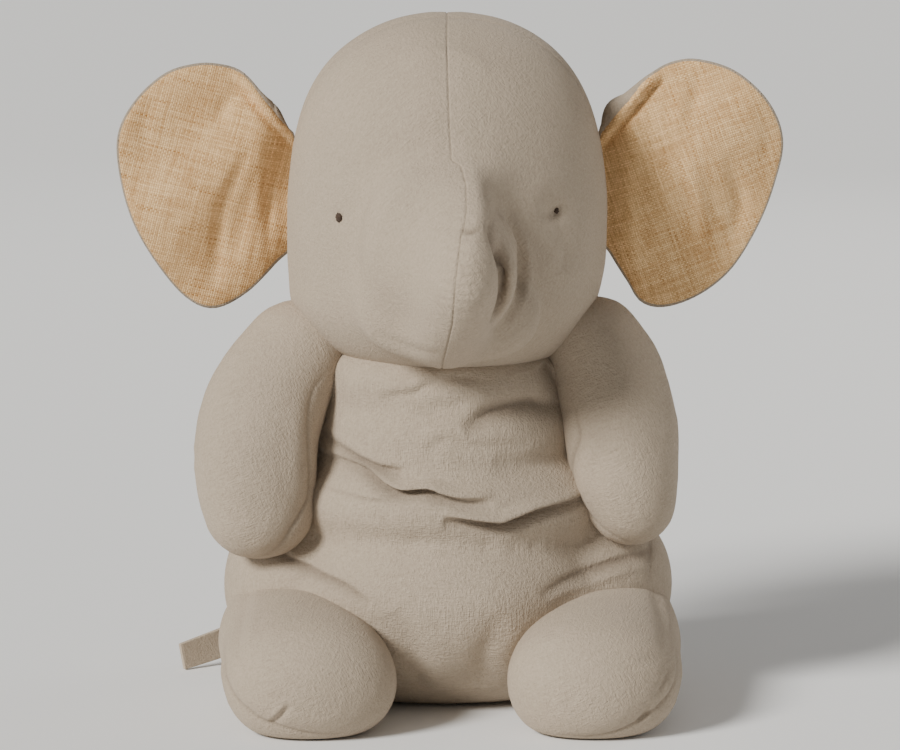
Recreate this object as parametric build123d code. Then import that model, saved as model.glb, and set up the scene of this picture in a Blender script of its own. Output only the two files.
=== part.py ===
"""A sitting stuffed elephant in linen: sewn covers over soft filling, in millimetres.

+Z is up, the elephant faces -Y, and its own left side is +X. The origin is the middle of the flat
patch of the seat that rests on the floor.
"""
import os

from build123d import *

# Cloth and clearances
CLOTH = 1.2  # linen with its soft backing
JOINT_GAP = 0.6  # between soft bodies that move against each other
TURN_STEPS = 3  # steps in which a moving limb's room is cut

# Pelvis and chest, the two bulges of the body (half sizes)
PELVIS_HALF_WIDTH = 98.0
PELVIS_HALF_DEPTH = 72.0
PELVIS_HEIGHT = 81.0
PELVIS_ROUNDING = 39.5
CHEST_HALF_WIDTH = 54.0
CHEST_HALF_DEPTH = 56.0
CHEST_LOW_Z = 58.0
CHEST_HIGH_Z = 188.0
CHEST_ROUNDING = 50.0
WAIST_SEAM_Z = 96.0
SIDE_SEAM_Y = 6.0

# Neck and head
NECK_Z = 168.0
NECK_GAP = 4.0
NECK_ROUNDING = 240.0  # radius of both faces at the neck, which leaves room to nod
NECK_HALF_WIDTH = 46.0
HEAD_RADIUS = 77.6
HEAD_HEIGHT = 164.5  # from the neck to the crown
HEAD_WAIST = 66.0  # where the barrel sides begin to close in, above the neck
CROWN_RADIUS = 75.0
CHEEK_TOP = 43.0  # where the cheeks begin to round in, above the neck
CHEEK_RADIUS = 37.0
HEAD_PANEL_BACK_Y = 20.0  # the crown seam, from ear to ear
EYE_X = 51.5
EYE_HEIGHT = 74.0  # above the neck
EYE_RADIUS = 2.1

# Trunk
TRUNK_ROOT_RADIUS = 21.0
TRUNK_TIP_RADIUS = 18.5
TRUNK_REACH = 29.0  # from the root ball's centre to the tip ball's centre
TRUNK_DROOP = 52.0  # degrees below the horizontal
TRUNK_HEIGHT = 70.0  # root ball's centre above the neck

# Ears
EAR_WIDTH = 81.0
EAR_HEIGHT = 121.0
EAR_LAYER = 1.2
EAR_WADDING = 2.0
EAR_Y = 14.0
EAR_ROOT_LOW_Z = 218.0
EAR_ROOT_HIGH_Z = 278.0
EAR_ROOT_GAP = 3.0  # between the head and the ear, which leaves room to turn

# Arms
ARM_TOP_RADIUS = 26.0
ARM_END_RADIUS = 28.0
ARM_LENGTH = 56.0  # from the shoulder ball's centre to the hand ball's centre
ARM_SHOULDER = (83.0, -12.0, 153.0)
ARM_SPREAD = 12.0  # degrees outwards
ARM_LEAN = 16.0  # degrees forwards

# Legs
LEG_HIP = (75.0, -30.0, 38.0)
LEG_HIP_RADIUS = 31.0
LEG_TURN_IN = 12.0  # degrees, seen from above
LEG_LENGTH = 49.0
FOOT_WIDTH = 82.0
FOOT_DEPTH = 68.0
FOOT_HEIGHT = 62.0
FOOT_ROUNDING = 30.0
SOLE_SEAM_Z = 15.0
LEG_SWING = (-12.0, 35.0)  # positive lowers the foot

# Tail
TAIL_LENGTH = 132.0
TAIL_WIDTH = 14.5
TAIL_THICKNESS = 2.4
TAIL_ROOT_Z = 44.0
TAIL_SLOPE = 16.0  # degrees downwards
TAIL_STAND_OFF = 2.4  # between the seat's back and the strap

FAR = 400.0


def cushion(centre, size, rounding, extra=0.0):
    """A block rounded on every edge, larger by the extra on every side."""
    block = Box(*(length + 2 * extra for length in size))
    block = fillet(block.edges(), rounding + extra)
    return Pos(*centre) * block


def slab(low, high):
    """A box between two corners, for keeping one side of a seam."""
    size = [b - a for a, b in zip(low, high)]
    middle = [(a + b) / 2 for a, b in zip(low, high)]
    return Pos(*middle) * Box(*size)


def drop(start_radius, end_radius, reach):
    """A tapered form with round ends: the start ball at the origin, the end ball below it."""
    start_ball = Sphere(start_radius)
    end_ball = Pos(0, 0, -reach) * Sphere(end_radius)
    slope = (end_radius - start_radius) / reach
    side = (1 - slope * slope) ** 0.5
    top = (start_radius * side, start_radius * slope)
    low = (end_radius * side, end_radius * slope - reach)
    profile = Polyline((0, top[1]), top, low, (0, low[1]), close=True)
    middle = revolve(Plane.XZ * make_face(profile), Axis.Z, 360)
    return start_ball + middle + end_ball


def turned(shape, pivot, degrees):
    """The shape turned about the left-to-right axis through a pivot."""
    return shape.rotate(Axis(pivot, (1, 0, 0)), degrees)


def mirrored(shape):
    return shape.mirror(Plane.YZ)


def head_form(extra=0.0):
    """A tall dome on a rounded base: sphere on top, barrel sides, rounded cheeks."""
    wide = HEAD_RADIUS + extra
    rise = HEAD_HEIGHT - HEAD_WAIST - CROWN_RADIUS
    inward = HEAD_RADIUS - CROWN_RADIUS
    barrel_x = inward / 2 - rise**2 / (2 * inward)
    barrel_radius = HEAD_RADIUS - barrel_x + extra
    lean = (barrel_x**2 + rise**2) ** 0.5
    shoulder = (
        barrel_x - barrel_x * barrel_radius / lean,
        HEAD_WAIST + rise * barrel_radius / lean,
    )
    side_height = (shoulder[1] - HEAD_WAIST) / 2
    side = (barrel_x + (barrel_radius**2 - side_height**2) ** 0.5, HEAD_WAIST + side_height)
    crown_z = HEAD_HEIGHT - CROWN_RADIUS
    crown_radius = CROWN_RADIUS + extra
    crown = (shoulder[0] / 2, crown_z + (crown_radius**2 - shoulder[0] ** 2 / 4) ** 0.5)
    top = (0, crown_z + crown_radius)
    lift = NECK_GAP / 2 - extra
    dome = NECK_ROUNDING + extra
    middle = (NECK_HALF_WIDTH / 2, lift + dome - (dome**2 - NECK_HALF_WIDTH**2 / 4) ** 0.5)
    edge = (NECK_HALF_WIDTH, lift + dome - (dome**2 - NECK_HALF_WIDTH**2) ** 0.5)
    diagonal = (CHEEK_RADIUS + extra) * 0.5**0.5
    cheek = (HEAD_RADIUS - CHEEK_RADIUS + diagonal, CHEEK_TOP - diagonal)
    outline = [
        ThreePointArc((0, lift), middle, edge),
        ThreePointArc(edge, cheek, (wide, CHEEK_TOP)),
        Line((wide, CHEEK_TOP), (wide, HEAD_WAIST)),
        ThreePointArc((wide, HEAD_WAIST), side, shoulder),
        ThreePointArc(shoulder, crown, top),
        Line(top, (0, lift)),
    ]
    half = Plane.XZ * make_face(Curve() + outline)
    return Pos(0, 0, NECK_Z) * Rot(0, 0, 33) * revolve(half, Axis.Z, 360)


def neck_dome(extra=0.0):
    """The ball whose top is the chest's rounded top, which lies just under the head."""
    radius = NECK_ROUNDING + extra
    return Pos(0, 0, NECK_Z - NECK_GAP / 2 - NECK_ROUNDING) * Rot(90, 37, 0) * Sphere(radius)


ARM_PLACE = Pos(*ARM_SHOULDER) * Rot(-ARM_LEAN, 0, 0) * Rot(0, -ARM_SPREAD, 0)


def leg_form(extra=0.0):
    """A left leg: the hip ball, the thigh and the wide foot that rests on the floor."""
    hip = Vector(*LEG_HIP)
    foot = Vector(hip.X, hip.Y - LEG_LENGTH, FOOT_HEIGHT / 2)
    thigh = drop(LEG_HIP_RADIUS + extra, FOOT_HEIGHT / 2 - 2 + extra, LEG_LENGTH)
    thigh = Pos(hip) * Rot(-83, 0, 0) * thigh
    leg = thigh + cushion(foot, (FOOT_WIDTH, FOOT_DEPTH, FOOT_HEIGHT), FOOT_ROUNDING, extra)
    return leg.rotate(Axis(hip, (0, 0, 1)), -LEG_TURN_IN)


def clear_of_legs(shape):
    """The shape with the space that both legs sweep taken away, and the joint gap round it."""
    low, high = LEG_SWING
    leg = leg_form(JOINT_GAP)
    for step in range(TURN_STEPS + 1):
        angle = low + (high - low) * step / TURN_STEPS
        place = turned(leg, LEG_HIP, angle)
        shape = shape - place - mirrored(place)
    return shape


def body_form(extra=0.0):
    """The pelvis and the chest, joined at the waist."""
    pelvis = cushion(
        (0, 0, PELVIS_HEIGHT / 2),
        (2 * PELVIS_HALF_WIDTH, 2 * PELVIS_HALF_DEPTH, PELVIS_HEIGHT),
        PELVIS_ROUNDING,
        extra,
    )
    chest = cushion(
        (0, 0, (CHEST_LOW_Z + CHEST_HIGH_Z) / 2),
        (2 * CHEST_HALF_WIDTH, 2 * CHEST_HALF_DEPTH, CHEST_HIGH_Z - CHEST_LOW_Z),
        CHEST_ROUNDING,
        extra,
    )
    return pelvis + (chest & neck_dome(extra))


def body_parts():
    """The four cover panels of the body and the filling inside them."""
    inner = body_form(-CLOTH)
    skin = clear_of_legs(body_form() - inner)
    front = slab((-FAR, -FAR, -FAR), (FAR, SIDE_SEAM_Y, FAR))
    above = slab((-FAR, -FAR, WAIST_SEAM_Z), (FAR, FAR, FAR))
    left = slab((0, -FAR, -FAR), (FAR, FAR, FAR))
    back = skin - front
    face = skin & front
    return {
        "chest_panel": face & above,
        "pelvis_panel": face - above,
        "back_panel_left": back & left,
        "back_panel_right": back - left,
        "body_filling": clear_of_legs(inner),
    }


def head_parts():
    """The two face panels, the back panel, the filling and the embroidered eyes."""
    outer = head_form()
    inner = head_form(-CLOTH)
    skin = outer - inner
    left = slab((0, -FAR, -FAR), (FAR, FAR, FAR))
    back = slab((-FAR, HEAD_PANEL_BACK_Y, -FAR), (FAR, FAR, FAR))
    face = skin - back
    eye_z = NECK_Z + EYE_HEIGHT
    eye_y = -((HEAD_RADIUS - 0.7) ** 2 - EYE_X**2) ** 0.5
    eye = Pos(EYE_X, eye_y, eye_z) * Rot(20, 35, 0) * Sphere(EYE_RADIUS) - outer
    return {
        "head_panel_left": face & left,
        "head_panel_right": face - left,
        "head_back_panel": skin & back,
        "head_filling": inner,
        "eye_knot_left": eye,
        "eye_knot_right": mirrored(eye),
    }


def trunk_parts():
    """A short drooping trunk, its root ball just clear of the face."""
    outer = drop(TRUNK_ROOT_RADIUS, TRUNK_TIP_RADIUS, TRUNK_REACH)
    inner = drop(TRUNK_ROOT_RADIUS - CLOTH, TRUNK_TIP_RADIUS - CLOTH, TRUNK_REACH)
    left = slab((0, -FAR, -FAR), (FAR, FAR, FAR))
    skin = outer - inner
    centre = (0, -HEAD_RADIUS - JOINT_GAP - TRUNK_ROOT_RADIUS, NECK_Z + TRUNK_HEIGHT)
    place = Pos(*centre) * Rot(TRUNK_DROOP - 90, 0, 0)
    return {
        "trunk_panel_left": place * (skin & left),
        "trunk_panel_right": place * (skin - left),
        "trunk_filling": place * inner,
    }


def ear_outline(root_low, root_high):
    """A left ear seen from the front: widest high up, narrowing to a round lower lobe."""
    foot = root_low[1] - 0.27 * EAR_HEIGHT
    reach = root_low[0] + EAR_WIDTH
    edge = Spline(
        root_low,
        (root_low[0] + 0.20 * EAR_WIDTH, foot + 0.09 * EAR_HEIGHT),
        (root_low[0] + 0.45 * EAR_WIDTH, foot),
        (root_low[0] + 0.68 * EAR_WIDTH, foot + 0.09 * EAR_HEIGHT),
        (reach - 0.11 * EAR_WIDTH, foot + 0.36 * EAR_HEIGHT),
        (reach, foot + 0.66 * EAR_HEIGHT),
        (reach - 0.11 * EAR_WIDTH, foot + 0.86 * EAR_HEIGHT),
        (reach - 0.42 * EAR_WIDTH, foot + EAR_HEIGHT),
        (root_low[0] + 0.22 * EAR_WIDTH, foot + 0.94 * EAR_HEIGHT),
        root_high,
    )
    return make_face(Curve() + [edge, Line(root_high, root_low)])


def ear_parts():
    """Three layers for each ear: straw linen lining in front, thin wadding, grey linen behind."""
    head = head_form()
    room = head_form(EAR_ROOT_GAP)
    roots = []
    for z in (EAR_ROOT_LOW_Z, EAR_ROOT_HIGH_Z):
        ray = slab((0, EAR_Y - 0.5, z - 0.5), (FAR, EAR_Y + 0.5, z + 0.5)) & head
        roots.append((ray.bounding_box().max.X + EAR_ROOT_GAP, z))
    outline = ear_outline(*roots)
    layers = [
        ("ear_lining", -EAR_WADDING / 2 - EAR_LAYER, EAR_LAYER),
        ("ear_wadding", -EAR_WADDING / 2, EAR_WADDING),
        ("ear_back", EAR_WADDING / 2, EAR_LAYER),
    ]
    parts = {}
    for name, start, thickness in layers:
        face = Plane.XZ * outline
        layer = Pos(0, EAR_Y + start + thickness, 0) * extrude(face, thickness) - room
        parts[name + "_left"] = layer
        parts[name + "_right"] = mirrored(layer)
    return parts


def arm_parts():
    """Front panel, back panel and filling of each arm."""
    outer = drop(ARM_TOP_RADIUS, ARM_END_RADIUS, ARM_LENGTH)
    inner = drop(ARM_TOP_RADIUS - CLOTH, ARM_END_RADIUS - CLOTH, ARM_LENGTH)
    skin = outer - inner
    front = slab((-FAR, -FAR, -FAR), (FAR, 0, FAR))
    pieces = {
        "arm_front_panel": skin & front,
        "arm_back_panel": skin - front,
        "arm_filling": inner,
    }
    parts = {}
    for name, shape in pieces.items():
        placed = ARM_PLACE * shape
        parts[name + "_left"] = placed
        parts[name + "_right"] = mirrored(placed)
    return parts


def leg_parts():
    """Upper panel, sole panel and filling of each leg."""
    outer = leg_form()
    inner = leg_form(-CLOTH)
    skin = outer - inner
    below = slab((-FAR, -FAR, -FAR), (FAR, FAR, SOLE_SEAM_Z))
    pieces = {
        "leg_upper_panel": skin - below,
        "leg_sole_panel": skin & below,
        "leg_filling": inner,
    }
    parts = {}
    for name, shape in pieces.items():
        parts[name + "_left"] = shape
        parts[name + "_right"] = mirrored(shape)
    return parts


def tail_parts():
    """A folded linen strap that lies across the back towards the elephant's right."""
    strap = Box(TAIL_LENGTH, TAIL_THICKNESS, TAIL_WIDTH)
    ends = strap.edges().filter_by(Axis.Y).group_by(Axis.X)[0]
    strap = fillet(ends, TAIL_WIDTH * 0.25)
    strap = Pos(-TAIL_LENGTH / 2, 0, 0) * strap
    back_y = PELVIS_HALF_DEPTH + TAIL_STAND_OFF + TAIL_THICKNESS / 2
    return {"tail_strap": Pos(0, back_y, TAIL_ROOT_Z) * Rot(0, -TAIL_SLOPE, 0) * strap}


def main():
    os.makedirs("parts", exist_ok=True)
    groups = [body_parts, head_parts, trunk_parts, ear_parts, arm_parts, leg_parts, tail_parts]
    for group in groups:
        for name, shape in group().items():
            export_step(shape, f"parts/{name}.step")


main()
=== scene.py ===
# %% [markdown]
# # A sitting linen elephant, cover by cover
#
# The toy is sewn from grey linen and filled with soft fibre. It has a body, a head with a short
# trunk, two ears lined with straw-coloured linen, two arms, two legs, a strap for a tail and two
# knotted eyes. The solid model gives the size and place of every part, and this lesson makes the
# cloth that the eye sees.

# %% Frame and size
import math

import bmesh
import bpy
import numpy as np
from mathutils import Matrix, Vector


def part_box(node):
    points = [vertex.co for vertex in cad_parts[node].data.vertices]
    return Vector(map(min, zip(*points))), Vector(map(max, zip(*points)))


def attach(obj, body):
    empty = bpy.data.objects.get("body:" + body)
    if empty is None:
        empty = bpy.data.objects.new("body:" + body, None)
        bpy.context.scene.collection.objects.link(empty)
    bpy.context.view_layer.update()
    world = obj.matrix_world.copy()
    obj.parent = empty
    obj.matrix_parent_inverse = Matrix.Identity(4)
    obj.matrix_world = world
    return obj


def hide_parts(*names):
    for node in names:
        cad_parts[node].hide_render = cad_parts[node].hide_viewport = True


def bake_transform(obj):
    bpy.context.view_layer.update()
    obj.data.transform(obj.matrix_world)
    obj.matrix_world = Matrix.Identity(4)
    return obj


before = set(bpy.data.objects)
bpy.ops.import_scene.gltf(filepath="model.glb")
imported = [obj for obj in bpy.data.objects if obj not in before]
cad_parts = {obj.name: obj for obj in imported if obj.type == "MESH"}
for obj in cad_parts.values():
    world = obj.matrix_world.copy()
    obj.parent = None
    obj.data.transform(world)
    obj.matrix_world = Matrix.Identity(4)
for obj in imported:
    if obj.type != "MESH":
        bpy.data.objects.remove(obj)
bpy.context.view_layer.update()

MM = 0.001

# %% [markdown]
# ## Helpers for working by hand
#
# Blender's operators act on everything that is selected, so each helper starts with a clean
# selection. `places` and `put` read and write all the points of a mesh at once, which is how the
# soft, uneven shaping of cloth is done later.

# %% Selection, primitives and modifiers
def alone(*chosen):
    """Deselect everything, then select only these pieces; the first one is active."""
    if bpy.context.object and bpy.context.object.mode != "OBJECT":
        bpy.ops.object.mode_set(mode="OBJECT")
    bpy.ops.object.select_all(action="DESELECT")
    for piece in chosen:
        piece.select_set(True)
    if chosen:
        bpy.context.view_layer.objects.active = chosen[0]


def settle():
    """Move the active piece's place, turn and size into its mesh."""
    bpy.ops.object.transform_apply(location=True, rotation=True, scale=True)


def ball(name, centre, half, turn=(0, 0, 0), segments=48, rings=24):
    """A ball squeezed to three half sizes, in millimetres; turn is in degrees."""
    alone()
    bpy.ops.mesh.primitive_uv_sphere_add(segments=segments, ring_count=rings, radius=1)
    piece = bpy.context.object
    piece.name = name
    piece.scale = [h * MM for h in half]
    piece.rotation_euler = [math.radians(a) for a in turn]
    piece.location = [c * MM for c in centre]
    settle()
    return piece


def joined(name, parts):
    """Several pieces as one object."""
    alone(*parts)
    bpy.ops.object.join()
    parts[0].name = name
    parts[0].data.name = name
    return parts[0]


def use(piece, kind, **settings):
    """Add a modifier, set it and apply it."""
    alone(piece)
    modifier = piece.modifiers.new(kind.title(), kind)
    for key, value in settings.items():
        setattr(modifier, key, value)
    bpy.ops.object.modifier_apply(modifier=modifier.name)


def places(piece):
    """All points of a piece, in millimetres, as an array of rows x, y, z."""
    flat = np.empty(len(piece.data.vertices) * 3)
    piece.data.vertices.foreach_get("co", flat)
    return flat.reshape(-1, 3) / MM


def put(piece, points):
    """Write all points of a piece back, in millimetres."""
    piece.data.vertices.foreach_set("co", (points * MM).ravel())
    piece.data.update()


def outward(piece):
    """The outward direction at every point of a piece."""
    flat = np.empty(len(piece.data.vertices) * 3)
    piece.data.vertex_normals.foreach_get("vector", flat)
    return flat.reshape(-1, 3)


def smooth_step(value, low, high):
    """0 below low, 1 above high, and a soft change between."""
    t = np.clip((value - low) / (high - low), 0, 1)
    return t * t * (3 - 2 * t)


# %% Cloth over filling
def skin_over(name, balls, voxel, relax):
    """One closed skin over several balls, evened out so that they read as a single filling."""
    piece = joined(name, balls)
    piece.data.remesh_voxel_size = voxel * MM
    alone(piece)
    bpy.ops.object.voxel_remesh()
    use(piece, "SMOOTH", factor=0.5, iterations=relax)
    return piece


CLOTH_FRAMES = 16


def inflate(piece, pressure, cap, pinned=None):
    """Blow the skin up as cloth for a few frames, and let no point move further than the cap."""
    start = places(piece)
    cloth = piece.modifiers.new("Cloth", "CLOTH")
    rules = cloth.settings
    if pinned is not None:
        group = piece.vertex_groups.new(name="pinned")
        for strength in (0.5, 1.0):
            chosen = np.nonzero(pinned >= strength)[0].tolist()
            group.add(chosen, strength, "REPLACE")
        rules.vertex_group_mass = "pinned"
    rules.quality = 5
    rules.mass = 0.25
    rules.use_pressure = True
    rules.uniform_pressure_force = pressure
    rules.effector_weights.gravity = 0
    rules.tension_stiffness = 12
    rules.compression_stiffness = 12
    rules.bending_stiffness = 0.3
    cloth.point_cache.frame_start = 1
    cloth.point_cache.frame_end = CLOTH_FRAMES
    for number in range(1, CLOTH_FRAMES + 1):
        bpy.context.scene.frame_set(number)
    seen = piece.evaluated_get(bpy.context.evaluated_depsgraph_get())
    flat = np.empty(len(start) * 3)
    seen.data.vertices.foreach_get("co", flat)
    moved = flat.reshape(-1, 3) / MM - start
    piece.modifiers.remove(cloth)
    bpy.context.scene.frame_set(1)
    far = np.linalg.norm(moved, axis=1, keepdims=True)
    moved *= np.minimum(1, cap / np.maximum(far, 1e-9))
    put(piece, start + moved)
    piece.vertex_groups.clear()
    print(piece.name, "swelled by up to", round(float(far.max()), 1), "mm")


def fine(piece, levels):
    """Divide every face into four, this many times, and round the surface."""
    use(piece, "SUBSURF", levels=levels, render_levels=levels)


# %% [markdown]
# ## Sewing lines and folds
#
# A seam pulls the cloth inwards along a thin line. Cutting the mesh three times side by side gives
# it a crisp line of points to pull in, which a plain displacement could not. The little puckers
# that gather beside a seam fade out within a few millimetres. A fold is a valley with a
# swell beside it, and it follows a curve through a few points chosen on the body.

# %% Seams and folds
SLIVER = 0.1 * MM  # a cut this close to a point goes through the point
DIP_WIDTH = 5.0  # how far from a seam the cloth starts to sink, mm
VALLEY_POWER = 1.6  # how sharp a fold's valley is
LIP_REACH, LIP_WIDTH = 1.5, 0.9  # where the swell lies beside a fold, in valley widths


def cut(piece, point, normal, limits=None):
    """Cut the mesh along a plane without opening it, within limits on x, y, z if given."""
    mesh = bmesh.new()
    mesh.from_mesh(piece.data)
    faces = mesh.faces[:]
    if limits:
        low, high = (Vector(c) * MM for c in limits)
        faces = [
            f for f in faces
            if all(low[i] <= f.calc_center_median()[i] <= high[i] for i in range(3))
        ]
    edges = list({e for f in faces for e in f.edges})
    verts = list({v for f in faces for v in f.verts})
    bmesh.ops.bisect_plane(
        mesh, geom=verts + edges + faces, dist=SLIVER, plane_co=Vector(point) * MM, plane_no=normal
    )
    mesh.to_mesh(piece.data)
    mesh.free()


def mark(piece, name, values):
    """Keep the strongest of the values given so far as a number at every point."""
    layer = piece.data.attributes.get(name) or piece.data.attributes.new(name, "FLOAT", "POINT")
    kept = np.empty(len(values))
    layer.data.foreach_get("value", kept)
    layer.data.foreach_set("value", np.maximum(kept, values).astype(np.float32))


def seam(piece, point, normal, where=None, depth=1.0, half=0.8, pucker=0.25, pitch=6.0, limits=None):
    """Sew a straight seam: cut it, pull its middle in, gather the cloth beside it."""
    normal = Vector(normal).normalized()
    for side in (-half, 0, half):
        cut(piece, Vector(point) + side * normal, normal, limits)
    points = places(piece)
    out = outward(piece)
    away = (points - np.array(point)) @ np.array(normal)
    held = np.ones(len(points)) if where is None else where(points)
    if limits:
        low, high = limits
        inside = ((points >= np.array(low)) & (points <= np.array(high))).all(axis=1)
        held = held * inside
    line = np.clip(1 - np.abs(away) / half, 0, 1) * held
    dip = np.exp(-((away / DIP_WIDTH) ** 2)) * held
    travel = points @ np.array([0.61, 0.52, 0.60])
    gather = np.sin(travel * 2 * math.pi / pitch + 1.3 * np.sin(travel * 0.31)) * pucker
    fade = np.exp(-((np.abs(away) - 2.5) / 2.2) ** 2) * held
    points -= out * (line * depth + dip * depth * 0.7 - gather * fade)[:, None]
    put(piece, points)
    mark(piece, "seam", line)


def through(stops, steps=14):
    """A soft curve through a few stops, as closely spaced points."""
    stops = np.array(stops, float)
    ends = np.vstack([2 * stops[0] - stops[1], stops, 2 * stops[-1] - stops[-2]])
    t = np.linspace(0, 1, steps, endpoint=False)[:, None]
    curve = []
    for a, b, c, d in zip(ends, ends[1:], ends[2:], ends[3:]):
        curve.append(
            0.5 * (2 * b + (c - a) * t + (2 * a - 5 * b + 4 * c - d) * t**2
                   + (3 * b - a - 3 * c + d) * t**3)
        )
    return np.vstack(curve + [stops[-1:]])


def beside(points, stops, axes=(0, 2)):
    """Distance to a curve seen along one axis, which side of it, and how far along (0 to 1)."""
    curve = through(stops)
    flat = points[:, list(axes)]
    a, b = curve[:-1], curve[1:]
    run = b - a
    length = np.maximum((run**2).sum(1), 1e-9)
    share = np.clip(((flat[:, None] - a) * run).sum(2) / length, 0, 1)
    near = a + run * share[..., None]
    gap = np.linalg.norm(flat[:, None] - near, axis=2)
    best = gap.argmin(1)
    rows = np.arange(len(flat))
    offset = flat - near[rows, best]
    side = np.sign(run[best, 0] * offset[:, 1] - run[best, 1] * offset[:, 0])
    along = (best + share[rows, best]) / len(a)
    return gap[rows, best], side, along


def fold(piece, stops, depth, width, swell=0.5, side=1, push=None, where=None, name=None):
    """Press a valley along a curve, and raise the cloth on one side of it by swell times the depth.

    Side +1 is left of the curve. Push is the direction that raises the cloth, if it isn't simply
    outwards. Name marks the valley, which the cloth's finish darkens: painted shade in a crease,
    a darker line along a seam.
    """
    points = places(piece)
    out = outward(piece)
    if where is None:
        chosen = out[:, 1] < 0.15
    else:
        chosen = where(points, out)
    index = np.nonzero(chosen)[0]
    gap, hand, along = beside(points[index], stops)
    ends = np.sin(np.clip(along, 0, 1) * math.pi) ** 0.6
    if push is not None:  # a fold in the front fades out where the cloth turns to the back
        ends *= smooth_step(-out[index, 1], -0.15, 0.25)
    reach = gap / width
    valley = np.exp(-(reach**VALLEY_POWER)) * ends
    lip = np.exp(-(((reach - LIP_REACH) / LIP_WIDTH) ** 2)) * ends * (hand == side)
    direction = out[index] if push is None else np.array(push)[None]
    points[index] += direction * (lip * depth * swell - valley * depth)[:, None]
    put(piece, points)
    if name:
        values = np.zeros(len(points))
        values[index] = valley
        mark(piece, name, values)


def uneven(piece, size, height, seed):
    """A slow unevenness, as loose filling gives."""
    points = places(piece)
    out = outward(piece)
    rng = np.random.default_rng(seed)
    total = np.zeros(len(points))
    for _ in range(7):
        direction = rng.normal(size=3)
        direction *= 2 * math.pi / (size * rng.uniform(0.7, 1.5) * np.linalg.norm(direction))
        total += np.sin(points @ direction + rng.uniform(0, 6.28))
    put(piece, points + out * (total * height / 7)[:, None])


print("helpers ready")

# %% [markdown]
# ## Shader nodes as sums
#
# A linen finish is a sum of many small things: threads along and across, thicker slubs, a soft
# brushed surface, and darker lines where seams sink in. `Value` wraps a node's output so that such
# a sum can be written as plain arithmetic, and `Finish.node` makes every other node.

# %% Arithmetic on sockets
class Value:
    """A number that changes over the surface; arithmetic on it adds Math nodes."""

    def __init__(self, finish, socket):
        self.finish = finish
        self.socket = socket

    def math(self, operation, *others):
        numbers = [self, *others]
        node = self.finish.tree.nodes.new("ShaderNodeMath")
        node.operation = operation
        for place, number in zip(node.inputs, numbers):
            if isinstance(number, Value):
                self.finish.tree.links.new(number.socket, place)
            else:
                place.default_value = number
        return Value(self.finish, node.outputs[0])

    def flipped(self, operation, other):
        node = self.finish.tree.nodes.new("ShaderNodeMath")
        node.operation = operation
        node.inputs[0].default_value = other
        self.finish.tree.links.new(self.socket, node.inputs[1])
        return Value(self.finish, node.outputs[0])

    def __add__(self, other):
        return self.math("ADD", other)

    def __sub__(self, other):
        return self.math("SUBTRACT", other)

    def __mul__(self, other):
        return self.math("MULTIPLY", other)

    def __radd__(self, other):
        return self.flipped("ADD", other)

    def __rsub__(self, other):
        return self.flipped("SUBTRACT", other)

    def __rmul__(self, other):
        return self.flipped("MULTIPLY", other)

    def __abs__(self):
        return self.math("ABSOLUTE")


class Finish:
    """A material and the nodes in it."""

    def __init__(self, name):
        self.material = bpy.data.materials.new(name)
        self.material.use_nodes = True
        self.tree = self.material.node_tree
        self.shader = self.tree.nodes["Principled BSDF"]

    def node(self, kind, settings=None, **inputs):
        """Make a node, give it its settings, then its numbers and links; return the node."""
        node = self.tree.nodes.new("ShaderNode" + kind)
        for key, value in (settings or {}).items():
            setattr(node, key, value)
        for key, value in inputs.items():
            place = node.inputs[key.replace("_", " ")]
            if isinstance(value, Value):
                self.tree.links.new(value.socket, place)
            else:
                place.default_value = value
        return node

    def value(self, node, output=0):
        return Value(self, node.outputs[output])

    def noise(self, where, scale, detail=2.0, roughness=0.5):
        node = self.node("TexNoise", Vector=where, Scale=scale, Detail=detail, Roughness=roughness)
        return self.value(node, "Fac")

    def stretched(self, where, rates, detail=1.0):
        """Noise drawn out along an axis; rates are how fast it changes per metre along x, y, z."""
        moved = self.node("Mapping", Vector=where, Scale=rates)
        return self.noise(self.value(moved), 1.0, detail)

    def blend(self, factor, first, second):
        """Mix two colours; the factor and either colour may change over the surface."""
        node = self.node("Mix", {"data_type": "RGBA"})
        for index, item in ((0, factor), (6, first), (7, second)):
            if isinstance(item, Value):
                self.tree.links.new(item.socket, node.inputs[index])
            else:
                node.inputs[index].default_value = item
        return Value(self, node.outputs[2])

    def feed(self, **inputs):
        """Set the shader's own sockets."""
        for key, value in inputs.items():
            place = self.shader.inputs[key.replace("_", " ")]
            if isinstance(value, Value):
                self.tree.links.new(value.socket, place)
            else:
                place.default_value = value


def colour(red, green, blue, share=1.0):
    """A colour given as it looks on a screen, from 0 to 255, made lighter or darker by a share."""
    linear = []
    for part in (red, green, blue):
        part /= 255
        linear.append(share * (part / 12.92 if part < 0.04045 else ((part + 0.055) / 1.055) ** 2.4))
    return (*linear, 1.0)


print("shader helpers ready")

# %% [markdown]
# ## Grey linen
#
# The grey cloth is a fine, soft linen. Its threads are uneven: thin ones, and now and then a
# thick slub that runs on for a centimetre. Three noises, each drawn out along one axis, give
# threads on every side of a round piece, because the direction that the surface faces fades out
# the noise that would only show its end there. Turning the cloth's grain turns all three.

# %% Grey linen finish
GREY_LIGHT = (191, 175, 155)
GREY_DARK = (149, 134, 116)


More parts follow.
